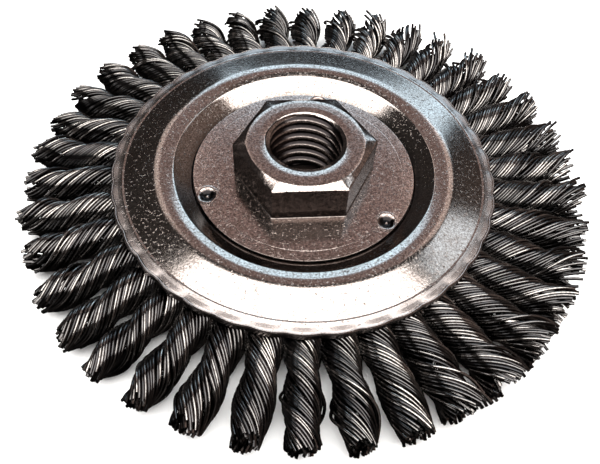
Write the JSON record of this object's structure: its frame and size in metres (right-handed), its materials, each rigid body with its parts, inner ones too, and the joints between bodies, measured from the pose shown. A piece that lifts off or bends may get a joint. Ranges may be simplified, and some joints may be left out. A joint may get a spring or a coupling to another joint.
{
  "type": "wire wheel brush",
  "caption": "Round twisted-knot wire wheel brush with a stamped steel hub and a threaded hex arbor nut, for cleaning metal with an angle grinder.",
  "frame": {"origin": "on the arbor axis, at the level of the surface that the wheel lies on (the rear plate's crest)", "axes": "+Z along the arbor axis towards the hex nut; +X and +Y in the wheel's plane, with one flat of the nut facing 7 degrees past -Y towards +X"},
  "size_m": [0.114, 0.114, 0.0162],
  "materials": {
    "stamped_steel": "satin bare steel with fine brown-grey mill grain",
    "washer_steel": "satin bare steel",
    "nut_steel": "machined bare steel",
    "wire_steel": "dark tempered steel wire"
  },
  "bodies": {
    "root": {"front_plate": "stamped_steel", "rear_plate": "stamped_steel", "anchor_disc": "stamped_steel", "front_washer": "washer_steel", "rear_washer": "washer_steel", "arbor_nut": "nut_steel", "knot_01": "wire_steel", "knot_02": "wire_steel", "knot_03": "wire_steel", "knot_04": "wire_steel", "knot_05": "wire_steel", "knot_06": "wire_steel", "knot_07": "wire_steel", "knot_08": "wire_steel", "knot_09": "wire_steel", "knot_10": "wire_steel", "knot_11": "wire_steel", "knot_12": "wire_steel", "knot_13": "wire_steel", "knot_14": "wire_steel", "knot_15": "wire_steel", "knot_16": "wire_steel", "knot_17": "wire_steel", "knot_18": "wire_steel", "knot_19": "wire_steel", "knot_20": "wire_steel", "knot_21": "wire_steel", "knot_22": "wire_steel", "knot_23": "wire_steel", "knot_24": "wire_steel", "knot_25": "wire_steel", "knot_26": "wire_steel", "knot_27": "wire_steel", "knot_28": "wire_steel", "knot_29": "wire_steel", "knot_30": "wire_steel", "knot_31": "wire_steel", "knot_32": "wire_steel", "knot_33": "wire_steel", "knot_34": "wire_steel", "knot_35": "wire_steel", "knot_36": "wire_steel", "knot_37": "wire_steel", "knot_38": "wire_steel"}
  },
  "joints": []
}
